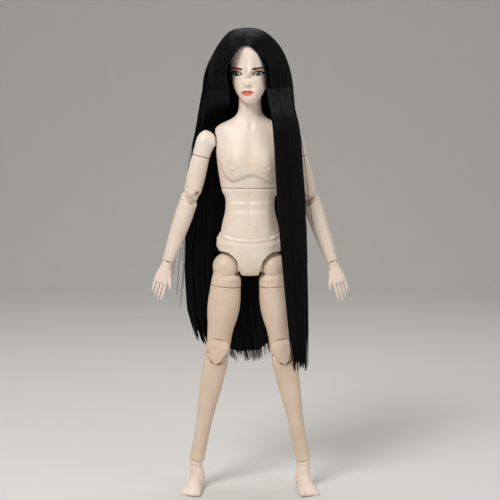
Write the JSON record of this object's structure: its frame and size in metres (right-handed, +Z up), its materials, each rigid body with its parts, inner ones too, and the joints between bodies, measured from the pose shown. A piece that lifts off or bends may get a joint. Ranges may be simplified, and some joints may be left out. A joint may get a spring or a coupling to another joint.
{
  "type": "articulated fashion doll",
  "caption": "Slim articulated fashion doll with long straight hair, standing, with pinned and turning joints from neck to ankles.",
  "frame": {"origin": "on the floor, at the middle of the doll's bounding box in X and Y", "axes": "+Z up from the soles to the crown, the doll faces -Y, +X is the doll's left side, on the viewer's right"},
  "size_m": [0.1284, 0.0407, 0.3014],
  "materials": {
    "hard_skin_plastic": "satin moulded",
    "soft_vinyl": "soft matte",
    "white_nylon": "satin",
    "hair_fibre": "glossy combed fibre"
  },
  "bodies": {
    "pelvis": {"lower_torso": "hard_skin_plastic", "waist_rod": "white_nylon"},
    "chest": {"chest_front": "hard_skin_plastic", "chest_back": "hard_skin_plastic"},
    "neck_stem": {"neck_stem": "white_nylon"},
    "head": {"head": "soft_vinyl", "hair_cap": "hair_fibre", "hair_fall": "hair_fibre", "hair_lock": "hair_fibre"},
    "right_shoulder_peg": {"right_shoulder_peg": "white_nylon"},
    "right_shoulder_cap": {"right_shoulder_cap": "hard_skin_plastic", "right_shoulder_pin": "white_nylon"},
    "right_upper_arm": {"right_upper_arm": "hard_skin_plastic", "right_elbow_upper_pin": "white_nylon"},
    "right_elbow_link": {"right_elbow_link": "white_nylon"},
    "right_forearm": {"right_forearm": "hard_skin_plastic", "right_elbow_lower_pin": "white_nylon"},
    "right_wrist_peg": {"right_wrist_peg": "white_nylon"},
    "right_hand": {"right_hand": "soft_vinyl", "right_wrist_pin": "white_nylon"},
    "right_hip_peg": {"right_hip_peg": "white_nylon"},
    "right_hip_cap": {"right_hip_cap": "hard_skin_plastic", "right_hip_pin": "white_nylon"},
    "right_thigh": {"right_thigh": "hard_skin_plastic", "right_knee_upper_pin": "white_nylon"},
    "right_knee_link": {"right_knee_link": "white_nylon", "right_kneecap": "hard_skin_plastic"},
    "right_shin": {"right_shin": "hard_skin_plastic", "right_knee_lower_pin": "white_nylon"},
    "right_ankle_peg": {"right_ankle_peg": "white_nylon"},
    "right_foot": {"right_foot": "soft_vinyl", "right_ankle_pin": "white_nylon"},
    "left_shoulder_peg": {"left_shoulder_peg": "white_nylon"},
    "left_shoulder_cap": {"left_shoulder_cap": "hard_skin_plastic", "left_shoulder_pin": "white_nylon"},
    "left_upper_arm": {"left_upper_arm": "hard_skin_plastic", "left_elbow_upper_pin": "white_nylon"},
    "left_elbow_link": {"left_elbow_link": "white_nylon"},
    "left_forearm": {"left_forearm": "hard_skin_plastic", "left_elbow_lower_pin": "white_nylon"},
    "left_wrist_peg": {"left_wrist_peg": "white_nylon"},
    "left_hand": {"left_hand": "soft_vinyl", "left_wrist_pin": "white_nylon"},
    "left_hip_peg": {"left_hip_peg": "white_nylon"},
    "left_hip_cap": {"left_hip_cap": "hard_skin_plastic", "left_hip_pin": "white_nylon"},
    "left_thigh": {"left_thigh": "hard_skin_plastic", "left_knee_upper_pin": "white_nylon"},
    "left_knee_link": {"left_knee_link": "white_nylon", "left_kneecap": "hard_skin_plastic"},
    "left_shin": {"left_shin": "hard_skin_plastic", "left_knee_lower_pin": "white_nylon"},
    "left_ankle_peg": {"left_ankle_peg": "white_nylon"},
    "left_foot": {"left_foot": "soft_vinyl", "left_ankle_pin": "white_nylon"}
  },
  "joints": [
    {"name": "waist_turn", "type": "hinge", "parent": "pelvis", "child": "chest", "pos_m": [0, 0, 0.19867], "axis": [0, 0, 1], "range_deg": [-45, 45]},
    {"name": "neck_nod", "type": "hinge", "parent": "chest", "child": "neck_stem", "pos_m": [0, 0.0012, 0.25497], "axis": [1, 0, 0], "range_deg": [-12, 12]},
    {"name": "head_turn", "type": "hinge", "parent": "neck_stem", "child": "head", "pos_m": [0, 0.0012, 0.25497], "axis": [0, 0, 1], "range_deg": [-60, 60], "deforming": ["hair_fall", "hair_lock"]},
    {"name": "right_shoulder_swing", "type": "hinge", "parent": "chest", "child": "right_shoulder_peg", "pos_m": [-0.0294, 0, 0.22807], "axis": [-1, 0, 0], "range_deg": [-90, 170]},
    {"name": "right_shoulder_raise", "type": "hinge", "parent": "right_shoulder_peg", "child": "right_shoulder_cap", "pos_m": [-0.0294, 0, 0.22807], "axis": [0, 1, 0], "range_deg": [-8, 78]},
    {"name": "right_upper_arm_turn", "type": "hinge", "parent": "right_shoulder_cap", "child": "right_upper_arm", "pos_m": [-0.0294, 0, 0.22807], "axis": [0.2368, 0, 0.9715], "range_deg": [-90, 90]},
    {"name": "right_elbow_upper", "type": "hinge", "parent": "right_upper_arm", "child": "right_elbow_link", "pos_m": [-0.03684, 0, 0.19756], "axis": [-0.6665, -0.7071, 0.236], "range_deg": [0, 55]},
    {"name": "right_elbow_lower", "type": "hinge", "parent": "right_elbow_link", "child": "right_forearm", "pos_m": [-0.03957, 0, 0.18984], "axis": [-0.6665, -0.7071, 0.236], "range_deg": [0, 55]},
    {"name": "right_wrist_turn", "type": "hinge", "parent": "right_forearm", "child": "right_wrist_peg", "pos_m": [-0.05359, 0, 0.15024], "axis": [0.3338, 0, 0.9426], "range_deg": [-90, 90]},
    {"name": "right_wrist_bend", "type": "hinge", "parent": "right_wrist_peg", "child": "right_hand", "pos_m": [-0.05359, 0, 0.15024], "axis": [0.9426, 0, -0.3338], "range_deg": [-30, 30]},
    {"name": "right_hip_swing", "type": "hinge", "parent": "pelvis", "child": "right_hip_peg", "pos_m": [-0.0154, 0, 0.14797], "axis": [-0.9397, 0.342, 0], "range_deg": [-10.8, 90]},
    {"name": "right_hip_spread", "type": "hinge", "parent": "right_hip_peg", "child": "right_hip_cap", "pos_m": [-0.0154, 0, 0.14797], "axis": [0.342, 0.9397, 0], "range_deg": [-8, 40]},
    {"name": "right_thigh_turn", "type": "hinge", "parent": "right_hip_cap", "child": "right_thigh", "pos_m": [-0.0154, 0, 0.14797], "axis": [0.0951, -0.0209, 0.9952], "range_deg": [-45, 45]},
    {"name": "right_knee_upper", "type": "hinge", "parent": "right_thigh", "child": "right_knee_link", "pos_m": [-0.02025, 0.00107, 0.09721], "axis": [0.9823, 0, -0.1874], "range_deg": [0, 58]},
    {"name": "right_knee_lower", "type": "hinge", "parent": "right_knee_link", "child": "right_shin", "pos_m": [-0.02216, 0.00128, 0.0872], "axis": [0.9823, 0, -0.1874], "range_deg": [0, 58]},
    {"name": "right_ankle_turn", "type": "hinge", "parent": "right_shin", "child": "right_ankle_peg", "pos_m": [-0.03546, 0.00277, 0.01747], "axis": [0.1873, -0.0209, 0.9821], "range_deg": [-30, 30]},
    {"name": "right_ankle_bend", "type": "hinge", "parent": "right_ankle_peg", "child": "right_foot", "pos_m": [-0.03546, 0.00277, 0.01747], "axis": [0.9823, 0, -0.1874], "range_deg": [-22, 22]},
    {"name": "left_shoulder_swing", "type": "hinge", "parent": "chest", "child": "left_shoulder_peg", "pos_m": [0.0294, 0, 0.22807], "axis": [-1, 0, 0], "range_deg": [-90, 170]},
    {"name": "left_shoulder_raise", "type": "hinge", "parent": "left_shoulder_peg", "child": "left_shoulder_cap", "pos_m": [0.0294, 0, 0.22807], "axis": [0, -1, 0], "range_deg": [-8, 78]},
    {"name": "left_upper_arm_turn", "type": "hinge", "parent": "left_shoulder_cap", "child": "left_upper_arm", "pos_m": [0.0294, 0, 0.22807], "axis": [0.2368, 0, -0.9715], "range_deg": [-90, 90]},
    {"name": "left_elbow_upper", "type": "hinge", "parent": "left_upper_arm", "child": "left_elbow_link", "pos_m": [0.03684, 0, 0.19756], "axis": [-0.6665, 0.7071, -0.236], "range_deg": [0, 55]},
    {"name": "left_elbow_lower", "type": "hinge", "parent": "left_elbow_link", "child": "left_forearm", "pos_m": [0.03957, 0, 0.18984], "axis": [-0.6665, 0.7071, -0.236], "range_deg": [0, 55]},
    {"name": "left_wrist_turn", "type": "hinge", "parent": "left_forearm", "child": "left_wrist_peg", "pos_m": [0.05359, 0, 0.15024], "axis": [0.3338, 0, -0.9426], "range_deg": [-90, 90]},
    {"name": "left_wrist_bend", "type": "hinge", "parent": "left_wrist_peg", "child": "left_hand", "pos_m": [0.05359, 0, 0.15024], "axis": [0.9426, 0, 0.3338], "range_deg": [-30, 30]},
    {"name": "left_hip_swing", "type": "hinge", "parent": "pelvis", "child": "left_hip_peg", "pos_m": [0.0154, 0, 0.14797], "axis": [-0.9397, -0.342, 0], "range_deg": [-10.8, 90]},
    {"name": "left_hip_spread", "type": "hinge", "parent": "left_hip_peg", "child": "left_hip_cap", "pos_m": [0.0154, 0, 0.14797], "axis": [0.342, -0.9397, 0], "range_deg": [-8, 40]},
    {"name": "left_thigh_turn", "type": "hinge", "parent": "left_hip_cap", "child": "left_thigh", "pos_m": [0.0154, 0, 0.14797], "axis": [0.0951, 0.0209, -0.9952], "range_deg": [-45, 45]},
    {"name": "left_knee_upper", "type": "hinge", "parent": "left_thigh", "child": "left_knee_link", "pos_m": [0.02025, 0.00107, 0.09721], "axis": [0.9823, 0, 0.1874], "range_deg": [0, 58]},
    {"name": "left_knee_lower", "type": "hinge", "parent": "left_knee_link", "child": "left_shin", "pos_m": [0.02216, 0.00128, 0.0872], "axis": [0.9823, 0, 0.1874], "range_deg": [0, 58]},
    {"name": "left_ankle_turn", "type": "hinge", "parent": "left_shin", "child": "left_ankle_peg", "pos_m": [0.03546, 0.00277, 0.01747], "axis": [0.1873, 0.0209, -0.9821], "range_deg": [-30, 30]},
    {"name": "left_ankle_bend", "type": "hinge", "parent": "left_ankle_peg", "child": "left_foot", "pos_m": [0.03546, 0.00277, 0.01747], "axis": [0.9823, 0, 0.1874], "range_deg": [-22, 22]}
  ]
}
